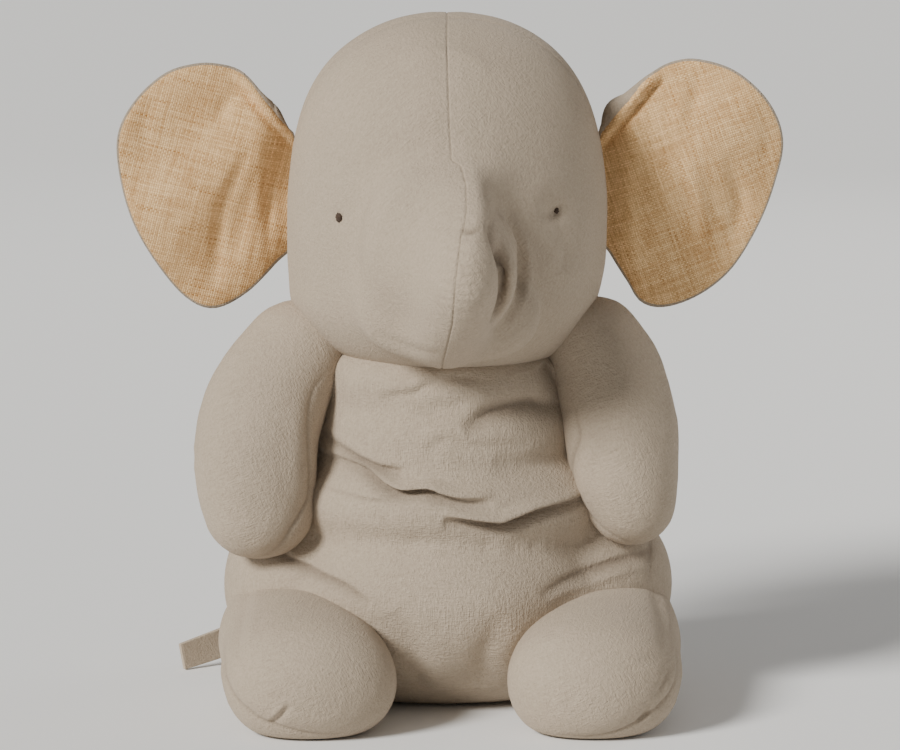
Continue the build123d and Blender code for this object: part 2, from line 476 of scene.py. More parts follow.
def grey_linen(name, grain=(0, 0, 0), share=1.0, coarse=1.0):
    """Soft grey linen; grain turns the threads, in degrees, and coarse is how much they stand out."""
    made = Finish(name)
    spot = made.value(made.node("TexCoord"), "Object")
    turned = made.node("Mapping", Vector=spot, Rotation=[math.radians(a) for a in grain])
    spot = made.value(turned)
    facing = made.value(made.node("NewGeometry"), "Normal")
    facing = made.value(made.node("Mapping", {"vector_type": "NORMAL"}, Vector=facing,
                                  Rotation=[math.radians(a) for a in grain]))
    parts = made.node("SeparateXYZ", Vector=facing)
    sides = [1 - abs(made.value(parts, i)) for i in range(3)]
    fine_rates = [(260, 1700, 1700), (1700, 260, 1700), (1700, 1700, 260)]
    slub_rates = [(75, 800, 800), (800, 75, 800), (800, 800, 75)]
    fine_threads = None
    slubs = None
    for side, fine_rate, slub_rate in zip(sides, fine_rates, slub_rates):
        thread = (made.stretched(spot, fine_rate) - 0.5) * side
        slub = (made.stretched(spot, slub_rate, 2.0) - 0.5) * side
        fine_threads = thread if fine_threads is None else fine_threads + thread
        slubs = slub if slubs is None else slubs + slub
    cloudy = made.noise(spot, 26, 3.0) - 0.5
    fuzz = made.noise(spot, 760, 3.0, 0.65) - 0.5
    seam_line = made.value(made.node("Attribute", {"attribute_name": "seam"}), "Fac")
    crease_shade = made.value(made.node("Attribute", {"attribute_name": "crease_shade"}), "Fac")
    tone = 0.55 + fine_threads * (0.5 * coarse) + slubs * (0.42 * coarse) + cloudy * 0.3 + fuzz * 0.75
    cloth = made.blend(tone, colour(*GREY_DARK, share), colour(*GREY_LIGHT, share))
    # darker along the sunken seam lines
    seam_darkened = made.blend(seam_line * 0.34, cloth, colour(92, 80, 66, share))
    # painted shade: the cloth is darkened towards deep brown in the valleys of the folds, where shade falls
    deep = made.blend(crease_shade * 0.5, seam_darkened, colour(74, 59, 46, share))
    height = fine_threads * (0.7 * coarse) + slubs * (0.5 * coarse) + fuzz * 1.1
    bump = made.node("Bump", Height=height, Strength=0.6, Distance=0.0011)
    made.feed(
        Base_Color=deep,
        Roughness=0.9 - fine_threads * 0.15,
        Normal=made.value(bump),
        Sheen_Weight=0.15,
        Sheen_Roughness=0.5,
        Sheen_Tint=(1.0, 0.9, 0.78, 1.0),
        Specular_IOR_Level=0.15,
    )
    return made.material


# %% [markdown]
# ## Straw linen
#
# The ears are lined with a coarser, plain-woven linen. Ochre threads go one way and cream threads
# the other, and each goes over one thread and under the next. The product of two cosines says
# which thread is on top. Long thin noises make each thread swell, thin out and change tone.

# %% Straw linen finish
THREAD_PITCH = 1.08 * MM


def straw_linen(name, grain):
    """Plain-woven straw-coloured linen on a piece that faces forward; grain in degrees."""
    made = Finish(name)
    spot = made.value(made.node("TexCoord"), "Object")
    wobble = made.node("TexNoise", Vector=spot, Scale=60.0, Detail=1.0)
    shake = made.node("VectorMath", {"operation": "MULTIPLY_ADD"})
    made.tree.links.new(wobble.outputs["Color"], shake.inputs[0])
    made.tree.links.new(spot.socket, shake.inputs[2])
    shake.inputs[1].default_value = (0.0016, 0.0016, 0.0016)
    turned = made.node("Mapping", Vector=made.value(shake), Rotation=(0, math.radians(grain), 0))
    parts = made.node("SeparateXYZ", Vector=made.value(turned))
    turn = math.pi / THREAD_PITCH
    across = (made.value(parts, 0) * turn).math("COSINE")
    down = (made.value(parts, 2) * turn).math("COSINE")
    over = across * down
    upright = abs(across) * (0.5 + over * 0.5)
    level = abs(down) * (0.5 - over * 0.5)
    flat = made.value(turned)
    upright_slub = made.stretched(flat, (820, 60, 55), 1.0) - 0.5
    level_slub = made.stretched(flat, (55, 60, 820), 1.0) - 0.5
    cloudy = made.noise(spot, 45, 2.0) - 0.5
    specks = made.noise(spot, 1100, 1.0) - 0.5
    height = upright.math("MAXIMUM", level)
    gap = 1 - height
    thread_tone = upright * upright_slub * 2.1 + level * level_slub * 2.1
    # painted shade: the gaps between the raised threads are darkened
    tone = 0.72 + thread_tone + (level - upright) * 0.10 - gap * 0.36 + cloudy * 0.3 + specks * 0.5
    tone = tone.math("MINIMUM", 1.0).math("MAXIMUM", 0.0)
    cloth = made.blend(tone, colour(164, 112, 52), colour(255, 216, 160))
    raised = height + (level_slub + upright_slub) * 0.4
    bump = made.node("Bump", Height=raised, Strength=0.55, Distance=0.0005)
    made.feed(
        Base_Color=cloth,
        Roughness=0.88 - height * 0.1,
        Normal=made.value(bump),
        Sheen_Weight=0.2,
        Sheen_Roughness=0.5,
        Specular_IOR_Level=0.25,
    )
    return made.material


# %% Eye thread finish
def eye_thread():
    """Dark brown embroidery thread, wound in short strands."""
    made = Finish("eye_thread")
    spot = made.value(made.node("TexCoord"), "Object")
    strands = made.stretched(spot, (2600, 400, 900), 1.0)
    tone = made.blend(strands, colour(38, 28, 22), colour(84, 66, 52))
    bump = made.node("Bump", Height=strands, Strength=0.6, Distance=0.0003)
    made.feed(Base_Color=tone, Roughness=0.65 + strands * 0.2, Normal=made.value(bump))
    made.feed(Sheen_Weight=0.1, Specular_IOR_Level=0.3)
    return made.material


BODY_LINEN = grey_linen("grey_linen_body", coarse=1.1)
SLANTED_LINEN = grey_linen("grey_linen_head", grain=(0, 38, 0), coarse=0.75)
LIMB_LINEN = grey_linen("grey_linen_limbs", grain=(0, 24, 12), coarse=0.8)
EAR_BACK_LINEN = grey_linen("grey_linen_ears", grain=(0, 15, 0), share=0.9)
TAIL_LINEN = grey_linen("grey_linen_tail", grain=(0, 24, 12), share=1.12)
EYE_THREAD = eye_thread()
print("finishes:", [m.name for m in bpy.data.materials if "linen" in m.name])

# %% [markdown]
# ## Settling on the floor
#
# Every shape is drawn at the height it has before its weight presses the filling down. Each piece
# is lowered when it is finished, and the body's and legs' undersides are pressed flat.

# %% Settling and finishing
SETTLE = 8.0  # how far the toy's weight lowers it, mm
BASE_GAP = 0.5  # the cloth's thickness under the toy, mm


def flat_base(piece, soft=3.0):
    """Let the floor press the underside flat."""
    points = places(piece)
    floor_z = SETTLE + BASE_GAP
    above = points[:, 2] - floor_z
    pressed = floor_z - 0.6 + 0.5 * (above + np.sqrt(above**2 + soft**2))
    points[:, 2] = np.where(above < 14, pressed, points[:, 2])
    put(piece, points)


def finish_piece(piece, material):
    """Lower a piece, give it its finish and soft shading, and print how many triangles it has."""
    points = places(piece)
    points[:, 2] -= SETTLE
    put(piece, points)
    piece.data.materials.clear()
    piece.data.materials.append(material)
    alone(piece)
    bpy.ops.object.shade_smooth()
    triangles = sum(len(p.vertices) - 2 for p in piece.data.polygons)
    print(piece.name, "has", triangles, "triangles")
    return piece

# %% [markdown]
# ## The body
#
# The body is a slack cushion. The chest sags over the wider pelvis, and where they meet the loose
# linen falls into deep sideways folds. Balls laid on the solids give the filling's shape, one skin
# goes over them, and a short cloth simulation swells it. The seams and folds are pressed in last.

# %% Body filling and skin
def chain(name, stops, count=12):
    """Balls strung along a smooth path; each stop is a centre and half sizes."""
    path = through(stops, 12)
    picked = path[np.linspace(0, len(path) - 1, count).round().astype(int)]
    return [ball(f"{name}_{i}", spot[:3], spot[3:]) for i, spot in enumerate(picked)]


body = skin_over("body_cover", [
    ball("chest", (0, -2, 138), (66, 55, 42)),
    ball("throat", (-2, -4, 164), (62, 50, 26)),
    ball("belly", (2, -6, 106), (78, 60, 34)),
    ball("seat", (0, 2, 50), (100, 70, 50)),
    ball("hip_left", (70, 8, 60), (41, 50, 44)),
    ball("hip_right", (-70, 8, 60), (40, 50, 44)),
    ball("lap", (0, -18, 60), (74, 56, 50)),
], voxel=4.5, relax=10)
points = places(body)
inflate(body, pressure=3.0, cap=5, pinned=np.where((points[:, 2] < 3) | (points[:, 2] > 172), 1.0, 0.0))
uneven(body, 70, 1.6, 3)
fine(body, 2)

# %% Body seams and folds
seam(body, (0, 14, 0), (0, 1, -0.04), where=lambda p: smooth_step(-p[:, 2], -124, -104), depth=0.9,
     limits=((-130, -6, 8), (130, 40, 126)))
seam(body, (0, 0, 0), (1, 0, 0), where=lambda p: smooth_step(p[:, 1], 20, 30), depth=1.2,
     limits=((-6, 20, 4), (6, 100, 172)))
HANG = (0, -1, -0.35)  # cloth above a fold comes forward and hangs over it
FOLDS = [  # path, depth, width, swell above, and the valley's darkening: painted crease shade, seam line or none
    ([(-62, 139), (-46, 132), (-38, 129), (-30.5, 126.5), (-20, 125.5)], 3.6, 2.6, 0.7, "crease_shade"),
    ([(-64, 130), (-45.5, 126.5), (-38, 124), (-30.5, 119), (-22, 116.2), (-9.6, 117), (-3, 114.8),
      (8, 112.6), (22, 112.6)], 6.0, 2.8, 0.75, "crease_shade"),
    ([(-2, 104.6), (6, 103.7), (14.4, 102.6), (25.6, 101.4), (33, 103.3), (44.3, 106.7), (60.7, 109),
      (72, 112)], 6.5, 2.9, 0.8, "crease_shade"),
    ([(8, 146), (14.4, 149.3), (21.8, 153), (37, 155.5), (48, 153), (60, 152)], 4.5, 4.2, 0.1, "crease_shade"),
    ([(45, 174), (47.3, 171), (51, 164.5), (55, 156)], 4.5, 3.2, 0.3, "crease_shade"),
    ([(-31, 160), (-25, 161.3), (-15.6, 162.8), (-8, 167), (3, 170), (28, 169.5)], 1.7, 3.2, 0.5, None),
    ([(-10, 135), (-5, 139.5), (0, 141.5), (10.6, 138.7), (22, 138), (40, 138)], 1.3, 3.4, 0.5, None),
    ([(-50, 176), (-55, 162), (-58, 146), (-58, 132)], 6.0, 5.0, 0.1, None),
    ([(22, 132), (36, 127), (50, 128), (60, 131)], 1.6, 6.0, 0.5, None),
    ([(-56, 98), (-30, 93), (0, 94), (24, 92)], 0.8, 6.0, 0.4, None),
    ([(-92, 92), (-83, 84.5), (-74, 79), (-62, 75), (-48, 71), (-36, 64)], 3.0, 2.6, 0.5, "crease_shade"),
    ([(103, 81), (92, 80), (80, 78), (68, 75), (56, 73), (44, 68)], 2.8, 2.6, 0.5, "crease_shade"),
    ([(97, 98), (99, 90), (98, 80), (98, 66)], 1.6, 1.3, 0.3, "seam"),
    ([(-26, 62), (-16, 42), (-14, 20)], 2.4, 7.0, 0.3, None),
    ([(26, 62), (18, 42), (16, 22)], 2.4, 7.0, 0.3, None),
]
for path, depth, width, swell, colouring in FOLDS:
    fold(body, path, depth, width, swell=swell, push=HANG, name=colouring)
fold(body, [(-62, 116.4), (-45.5, 114.3), (-38, 113.2), (-30.5, 113.2), (-22, 114.4)], 0.9, 0.9, swell=0.2,
     push=HANG, name="seam")
flat_base(body)
finish_piece(body, BODY_LINEN)

# %% [markdown]
# ## The head and trunk
#
# The head is a tall dome whose two face panels meet in a seam down the middle. The trunk grows
# from the brow, leans a little to the elephant's left and points forward and down. Its left side is
# crushed into two curved folds against the cheek. Head and trunk share one skin here, because the
# eye sees them flow into each other.

# %% Head filling and skin
HEAD_OUTLINE = [  # height above the floor, half width
    (169.0, 0.0), (170.0, 26.0), (172.5, 45.0), (176.0, 54.0), (182.0, 61.5), (190.0, 67.2),
    (203.0, 73.6), (220.0, 77.2), (242.0, 77.6), (262.0, 76.6), (280.0, 74.2), (296.0, 70.0),
    (310.0, 63.0), (322.0, 52.5), (331.0, 39.5), (337.5, 24.0), (340.5, 0.0),
]


def dome(name):
    """A ball whose rings are moved out to the head's outline."""
    piece = ball(name, (0, 0, 258), (77, 74, 82), segments=96, rings=64)
    points = places(piece)
    heights = np.array([z for z, _ in HEAD_OUTLINE])
    widths = np.array([w for _, w in HEAD_OUTLINE])
    level = np.clip((points[:, 2] - 176) / (340 - 176), 0, 1)
    z = heights[0] + level * (heights[-1] - heights[0])
    squared = np.interp(z, heights, widths**2)
    wide = np.sqrt(squared)
    angle = np.arctan2(points[:, 1] / 74, points[:, 0] / 77)
    points[:, 0] = wide * np.cos(angle)
    points[:, 1] = wide * 0.95 * np.sin(angle)
    points[:, 2] = z
    full_cheek = 1 + 0.045 * np.exp(-(((z - 197) / 13) ** 2)) * (points[:, 0] < 0)
    points[:, 0] *= full_cheek
    put(piece, points)
    return piece


trunk = chain("trunk", [
    (1, -60, 262, 15, 16, 20), (3, -81, 251, 17, 19, 19), (5, -98, 239, 18.5, 19, 19),
    (5.5, -108, 227, 18.8, 19, 18), (4, -99, 213, 18.5, 17, 16), (2, -84, 201, 19, 17, 15),
    (0, -68, 191, 22, 16, 14),
], 16)
roll = chain("roll", [
    (20, -84, 250, 1.8, 3, 4), (22.5, -90, 245, 3.0, 4.4, 4), (25.8, -92, 238, 4.2, 5, 4.4),
    (28.8, -92, 229, 4.4, 5, 4.6), (28.8, -88, 219, 4.4, 5, 4.6), (25.4, -82, 209, 4.2, 4.6, 4.4),
    (18, -78, 200, 3.8, 4, 4),
], 17)
head = skin_over("head_cover", [
    dome("skull"), *trunk, *roll,
    ball("left_of_trunk", (-14, -74, 236), (27, 15, 38)),
    ball("left_bridge", (-8, -84, 229), (18, 18, 27)),
    ball("under_roll", (19, -78, 228), (16, 13, 25)),
    ball("brow_right", (13, -62, 263), (19, 15, 19)),
    ball("left_jaw", (-15, -66, 206), (30, 13, 26)),
    ball("right_jaw", (16, -64, 202), (28, 13, 22)),
], voxel=2.6, relax=14)
points = places(head)
soft = smooth_step(-points[:, 0], 1, 7) * smooth_step(-points[:, 1], 30, 45)
soft = np.maximum(soft, smooth_step(points[:, 2], 251, 268))
group = head.vertex_groups.new(name="soft_cheek")
for index, weight in enumerate(soft):
    if weight > 0:
        group.add([index], float(weight), "REPLACE")
use(head, "SMOOTH", factor=0.5, iterations=70, vertex_group="soft_cheek")
head.vertex_groups.clear()
fine(head, 1)
seam(head, (0, 0, 0), (1, 0, 0), where=lambda p: smooth_step(-p[:, 1], -24, -8),
     depth=0.5, half=0.5, pucker=0.1, limits=((-6, -140, 177), (6, 22, 345)))
seam(head, (0, 26, 0), (0, 1, 0.12), depth=0.8, pucker=0.12, limits=((-90, -45, 182), (90, 60, 345)))
seam(head, (0, 0, 0), (1, 0, 0), where=lambda p: smooth_step(p[:, 1], 30, 40), depth=0.9, pucker=0.1,
     limits=((-6, 28, 182), (6, 100, 320)))

# %% Trunk lean, folds and eye dimples
SEAM_PATH = [  # height, and how far the face seam runs to the elephant's left
    (170, -3), (184, -1.7), (205, 2.4), (227, 3.8), (246, 6.3), (249, 7.6), (256, 8.8), (266, 8.6),
    (271, 7.2), (273.5, 6.4), (275.5, 2.2), (290, 1.2), (330, 0),
]
points = places(head)
face = smooth_step(-points[:, 1], 30, 50)
shift = np.interp(points[:, 2], *np.array(SEAM_PATH).T)
points[:, 0] += shift * face * np.exp(-((points[:, 0] / 16) ** 2))
ahead = smooth_step(-points[:, 1], 78, 100)
beside_seam = np.abs(points[:, 0] - shift)
gathers = np.sin(points[:, 2] * 1.5 + 0.9 * np.sin(points[:, 2] * 0.43) + points[:, 0] * 0.25)
gathers *= np.exp(-(((beside_seam - 3.6) / 3.4) ** 2)) * np.exp(-(((points[:, 2] - 231) / 14) ** 2)) * ahead
crumple = np.sin(points[:, 2] * 1.05 + points[:, 0] * 0.7) * np.sin(points[:, 0] * 0.9 - points[:, 2] * 0.4)
crumple *= np.exp(-(((points[:, 2] - 228) / 22) ** 2)) * np.exp(-(((points[:, 0] - 14) / 8) ** 2)) * ahead
points[:, 1] -= 0.6 * gathers + 0.28 * crumple
put(head, points)
near_face = lambda p, o: (p[:, 1] < -50) & (p[:, 0] > 8) & (p[:, 2] < 268) & (p[:, 2] > 186)
fold(head, [(18.8, 252), (20.4, 246), (23, 239), (25.2, 231), (25.8, 221), (24, 211), (20, 203)], 4.2, 1.6,
     swell=0.25, side=1, where=near_face, name="crease_shade")
fold(head, [(27, 249), (31.5, 239), (34.4, 229), (34.2, 218), (30, 207), (22, 197)], 2.4, 2.4,
     swell=0.3, side=1, where=near_face)
fold(head, [(6, 248.6), (9, 247.6), (12, 247.8), (16, 249)], 1.1, 1.0, swell=0.2, side=1,
     where=lambda p, o: (p[:, 1] < -80), name="crease_shade")
fold(head, [(-20, 317), (-11, 322), (0, 324), (12, 321), (20, 315)], -0.9, 3.0, swell=0,
     where=lambda p, o: (p[:, 1] < -10))
fold(head, [(-34, 196), (-18, 189), (0, 187)], 0.9, 3.0, swell=0.3, side=1, where=lambda p, o: p[:, 1] < -40)
fold(head, [(53, 243), (56.5, 232), (54, 220)], 1.4, 4.0, swell=0.4, side=-1,
     where=lambda p, o: p[:, 1] < -30)


def dimple(piece, centre, radius, depth):
    """Pull the cloth in round a stitched point."""
    points = places(piece)
    out = outward(piece)
    far = np.linalg.norm((points - np.array(centre))[:, [0, 2]], axis=1)
    near = np.exp(-((far / radius) ** 1.5)) * (points[:, 1] < 0)
    put(piece, points - out * (near * depth)[:, None])


EYES = {"right": (-50.3, 247.2), "left": (51.4, 249.5)}
dimple(head, (EYES["left"][0], 0, EYES["left"][1]), 7.0, 4.0)
dimple(head, (EYES["left"][0] + 0.5, 0, EYES["left"][1]), 2.2, 2.4)
dimple(head, (EYES["right"][0], 0, EYES["right"][1]), 4.0, 0.9)
uneven(head, 60, 0.8, 11)
finish_piece(head, SLANTED_LINEN)

# %% [markdown]
# ## Arms
#
# Each arm is a stuffed mitten shape, cut from a front and a back panel. It is fullest at the hand
# and tucks under the cheek at the shoulder. The two arms hang a little differently, as they do on
# a slack toy, so each has its own balls.

# %% Arms
ARM_PATHS = {
    "right": [(-90, -32, 104, 27, 22, 24), (-91.5, -30, 118, 29.5, 25, 28), (-91, -26, 136, 30.3, 27, 28),
              (-86, -20, 155, 30, 26, 26), (-79, -14, 170, 29, 24, 23), (-70, -8, 184, 27, 22, 18)],
    "left": [(88, -32, 108, 22, 22, 22), (85, -30, 121, 26, 25, 27), (84, -26, 138, 27.5, 27, 28),
             (81, -20, 155, 28, 26, 26), (76, -14, 171, 27.5, 24, 23), (68, -8, 186, 25, 22, 18)],
}
ARM_INNER_EDGES = {  # fills the arm out towards its inner seam
    "right": [(-77, -31, 106, 13, 17, 18), (-75, -29, 120, 13.5, 21, 22), (-75, -26, 138, 14, 23, 23),
              (-72, -20, 156, 13, 22, 20), (-66, -14, 169, 12, 19, 16)],
    "left": [(76, -31, 110, 12, 17, 16), (71, -29, 122, 13, 21, 20), (69.5, -26, 138, 13.5, 23, 22),
             (67, -20, 155, 13, 22, 20), (62, -14, 169, 12, 19, 16)],
}
ARM_SEAMS = {
    "right": [(-57, 171), (-63, 163.5), (-65.5, 155), (-66, 144), (-65.5, 131), (-65, 122), (-66, 112),
              (-69.5, 105), (-74, 98), (-78, 91.5), (-83, 86), (-89, 82.5), (-98, 82)],
    "left": [(60, 157), (62, 149), (63, 141), (60, 131), (59.5, 122), (62, 112), (67, 104), (74, 97),
             (83, 91.5), (93, 88)],
}
arms = {}
for side, stops in ARM_PATHS.items():
    arm = skin_over(f"arm_cover_{side}", [
        *chain(f"arm_{side}", stops), *chain(f"arm_edge_{side}", ARM_INNER_EDGES[side], 10),
    ], voxel=3.6, relax=8)
    inflate(arm, pressure=4.0, cap=3.5)
    uneven(arm, 45, 1.0, 5 if side == "left" else 6)
    fine(arm, 2)
    sewn = ARM_SEAMS[side]
    fold(arm, sewn, 0.9, 4.0, swell=0.2)
    fold(arm, sewn, 0.9, 0.8, swell=0, name="seam")
    finish_piece(arm, LIMB_LINEN)
    arms[side] = arm

# %% [markdown]
# ## Legs
#
# The legs are short and end in big round feet. A seam runs low round the foot, where the upper
# panel meets the sole, and the sole rests flat on the floor.

# %% Legs
LEG_PATHS = {
    "right": [(-64, -84, 32, 41, 30, 31.5), (-66, -72, 33.5, 41, 32, 32), (-71, -50, 36, 37, 34, 31.5),
              (-77, -24, 38, 34, 34, 31), (-78, -8, 40, 31, 32, 31)],
    "left": [(68, -84, 32, 41, 30, 31.5), (70, -72, 33.5, 41, 32, 32), (75, -50, 36, 37, 34, 31.5),
             (80, -24, 38, 34, 34, 31), (80, -8, 40, 32, 32, 31)],
}
FOOT_SEAMS = {
    "right": [(-105, 46), (-103, 36), (-97, 27), (-86, 20), (-74, 16), (-62, 13), (-48, 12)],
    "left": [(108, 46), (107, 36), (101, 27), (91, 20), (79, 14), (66, 11), (52, 11)],
}
legs = {}
for side, stops in LEG_PATHS.items():
    leg = skin_over(f"leg_cover_{side}", chain(f"leg_{side}", stops), voxel=4.0, relax=6)
    inflate(leg, pressure=4.0, cap=3.5)
    uneven(leg, 50, 1.0, 21 if side == "left" else 22)
    fine(leg, 2)
    sewn = FOOT_SEAMS[side]
    fold(leg, sewn, 0.8, 4.0, swell=0.2)
    fold(leg, sewn, 0.9, 0.8, swell=0, name="seam")
    if side == "right":
        fold(leg, [(-82, 18), (-77, 22), (-72, 28)], 1.6, 1.6, swell=0.5)
        fold(leg, [(-94, 66), (-97, 56), (-97, 46)], 1.0, 3.0, swell=0.4)
    else:
        fold(leg, [(104, 42), (101, 36), (97, 29)], 1.4, 2.0, swell=0.4)
        fold(leg, [(94, 28), (92, 22), (88, 18)], 1.2, 1.6, swell=0.4)
        fold(leg, [(98, 66), (102, 58), (103, 48)], 1.0, 3.0, swell=0.4)
        fold(leg, [(106, 40), (98, 46), (88, 48)], 0.7, 3.0, swell=0.4)
    flat_base(leg)
    finish_piece(leg, LIMB_LINEN)
    legs[side] = leg

# %% [markdown]
# ## Ears
#
# An ear is two pieces of cloth, sewn together round the edge and turned: straw linen in front,
# grey linen behind. A squashed ball gives a thin pad with a round rim. Its points are moved so
# that its rim follows the ear's outline, and then the pad is cut in two at the rim, one half for
# each cloth. Each half gets the thickness of the cloth.

# %% Ears
EAR_RIMS = {  # x outwards and height, in millimetres, from the upper root round to the lower root
    "right": [(74, 279.5), (81, 287), (89, 299), (98.6, 310), (110, 314), (122, 314), (136, 309.5),
              (150, 297), (158.5, 281), (158.5, 262), (153, 240), (142, 218), (128, 199.5), (114, 193.5),
              (98, 201), (84, 215), (74, 226), (71.5, 250)],
    "left": [(74, 281), (78, 289), (87, 299.5), (98, 309), (109, 315), (122, 316), (140, 310), (156, 295),
             (163.5, 276), (160, 254), (152, 233), (140, 212), (124, 199), (107, 193), (95, 196), (88, 207),
             (80, 220), (74, 230), (71.5, 255)],
}
EAR_PLEAT = [(75, 271), (83.5, 282), (91.7, 292.4), (98.6, 300.5), (105, 306)]
EAR_FOLDS = {  # path, depth, half width
    "right": [
        ([(94, 276), (101, 262), (110, 241), (113, 215), (114, 200)], 2.0, 3.2),
        ([(89, 262), (94, 240), (100, 212)], -1.0, 3.0),
        ([(86, 262), (87, 245), (88, 216)], 1.8, 2.4),
        ([(100, 300), (107, 294), (112, 284)], 1.4, 3.4),
        ([(139, 300), (146, 286), (145, 266)], 0.9, 4.0),
    ],
    "left": [
        ([(120, 310), (121, 300), (118, 288)], 1.3, 3.0),
        ([(112, 304), (113, 292), (110, 280)], -0.8, 3.0),
        ([(90, 262), (95, 235), (98, 205)], 1.2, 3.6),
        ([(116, 268), (124, 242), (126, 212)], -2.2, 4.2),
        ([(136, 270), (143, 246), (138, 222)], 1.9, 4.2),
        ([(150, 296), (156, 280), (154, 262)], 0.8, 4.0),
    ],
}
EAR_Y = sum(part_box("ear_wadding_left")[i][1] for i in (0, 1)) / 2 / MM


def rim_radius(stops, centre, angles):
    """How far the ear's edge is from its centre, at each angle."""
    closed = through([*stops, stops[0]], 24)
    edge = closed - np.array(centre)
    found = np.arctan2(edge[:, 1], edge[:, 0])
    order = np.argsort(found)
    return np.interp(angles, found[order], np.linalg.norm(edge, axis=1)[order], period=2 * math.pi)


def ear_pad(side):
    """A thin pad in the shape of an ear, cupped and rippled like soft cloth."""
    sign = 1 if side == "left" else -1
    centre = (116, 258)
    pad = ball(f"ear_{side}", (0, 0, 0), (1, 1, 1), turn=(90, 0, 0), segments=128, rings=72)
    points = places(pad) / np.abs(places(pad)).max()
    flat = np.hypot(points[:, 0], points[:, 2])
    angle = np.arctan2(points[:, 2], points[:, 0])
    reach = rim_radius(EAR_RIMS[side], centre, angle)
    share = np.arcsin(np.clip(flat, 0, 1)) / (math.pi / 2)
    x = centre[0] + np.cos(angle) * reach * share
    z = centre[1] + np.sin(angle) * reach * share
    thick = 2.1 * np.sqrt(np.clip(1 - share**2, 0, 1)) * np.sign(points[:, 1])
    out = np.clip((x - 74) / 88, 0, 1)
    cup, turned_back = (3, 14) if side == "left" else (9, 0)
    y = EAR_Y + 2 + thick - cup * out**1.6 + 2.5 * share**3 * smooth_step(-z, -240, -210)
    outward_down = (x - 116) * 0.75 - (z - 258) * 0.66
    y += turned_back * smooth_step(outward_down, -8, 44)
    y += 0.9 * np.sin((x - 74) * 0.085 + (z - 250) * 0.11)
    spots = np.c_[x, z]
    gap, hand, along = beside(spots, EAR_PLEAT, axes=(0, 1))
    behind = (thick > 0) * np.clip(share, 0, 1) ** 8 * np.exp(-((np.hypot(x - 82, z - 290) / 9) ** 2))
    x -= 3.5 * behind
    z += 4.0 * behind
    held = np.sin(np.clip(along * 0.9 + 0.1, 0, 1) * math.pi) ** 0.5
    lift = 4.6 if side == "left" else 3.0
    y -= lift * np.exp(-(((gap - 4.0) / 3.0) ** 2)) * held * (hand > 0)
    y += 2.6 * np.exp(-((gap / 1.5) ** 2)) * held
    for path, depth, width in EAR_FOLDS[side]:
        gap, hand, along = beside(spots, path, axes=(0, 1))
        y += depth * np.exp(-((gap / width) ** 2)) * np.sin(np.clip(along, 0, 1) * math.pi) ** 0.7
    if side == "right":
        toward_head = (spots - np.array([89, 274])) @ np.array([-0.763, -0.645])
        y += 7.0 * smooth_step(toward_head, -6, 24)
    y += 5.0 * smooth_step(-x, -92, -76)
    points = np.c_[sign * x, y, z]
    put(pad, points)
    if sign < 0:
        alone(pad)
        bpy.ops.object.mode_set(mode="EDIT")
        bpy.ops.mesh.select_all(action="SELECT")
        bpy.ops.mesh.normals_make_consistent(inside=False)
        bpy.ops.object.mode_set(mode="OBJECT")
    return pad, share, np.sign(thick)


def half_of(pad, name, keep):
    """A copy of the pad with only the faces that are kept, given the cloth's thickness."""
    alone(pad)
    bpy.ops.object.duplicate()
    piece = bpy.context.object
    piece.name = name
    piece.data.name = name
    mesh = bmesh.new()
    mesh.from_mesh(piece.data)
    mesh.faces.ensure_lookup_table()
    gone = [f for f in mesh.faces if not keep(f)]  # the other cloth's faces
    bmesh.ops.delete(mesh, geom=gone, context="FACES")
    mesh.to_mesh(piece.data)
    mesh.free()
    area = sum(p.area for p in piece.data.polygons)
    use(piece, "SOLIDIFY", thickness=0.7 * MM, offset=-1)
    return piece, area


ears = {}
for side, grain in (("left", 20), ("right", 74)):
    pad, share, face = ear_pad(side)
    front_ring = {v.index for v, s, f in zip(pad.data.vertices, share, face) if f < 0 or s > 0.985}
    lining, lining_area = half_of(
        pad, f"ear_lining_cloth_{side}", lambda f: all(v.index in front_ring for v in f.verts))
    backing, backing_area = half_of(
        pad, f"ear_back_cloth_{side}", lambda f: not all(v.index in front_ring for v in f.verts))
    bpy.data.objects.remove(pad)
    finish_piece(lining, straw_linen(f"straw_linen_{side}", grain))
    finish_piece(backing, EAR_BACK_LINEN)
    ears[side] = (lining, lining_area, backing, backing_area)
    print("ear", side, "cloth areas, m2:", round(lining_area, 5), round(backing_area, 5))

# %% [markdown]
# ## Eyes and tail
#
# Each eye is a small knot of thread, pulled tight. The tail is a strip of the same linen,
# folded to a flat strap; it leaves the middle of the back and lies along the hip.

# %% Eyes
eyes = {}
for side, (x, z) in EYES.items():
    points = places(head)
    near = np.hypot(points[:, 0] - x, points[:, 2] + SETTLE - z) + 1000 * (points[:, 1] > 0)
    y = points[near.argmin(), 1]
    turn = 38 if side == "left" else -38
    half = (1.9, 1.3, 2.3) if side == "right" else (1.3, 1.0, 1.8)
    knot = ball(f"eye_thread_{side}", (x, y - 0.2, z), half, turn=(8, 0, turn), segments=32, rings=16)
    spots = places(knot)
    middle = spots.mean(axis=0)
    away = spots - middle
    spots = middle + away * (1 + 0.10 * np.sin(away[:, 2:3] * 5 + away[:, 0:1] * 3))
    put(knot, spots)
    eyes[side] = finish_piece(knot, EYE_THREAD)

# %% Tail
TAIL_LENGTH, TAIL_WIDTH, TAIL_THICKNESS = 140.0, 15.5, 2.6
TAIL_PATH = [(2, 74, 51), (-26, 76.5, 44), (-62, 75, 34), (-98, 60, 23), (-133, 38, 15)]


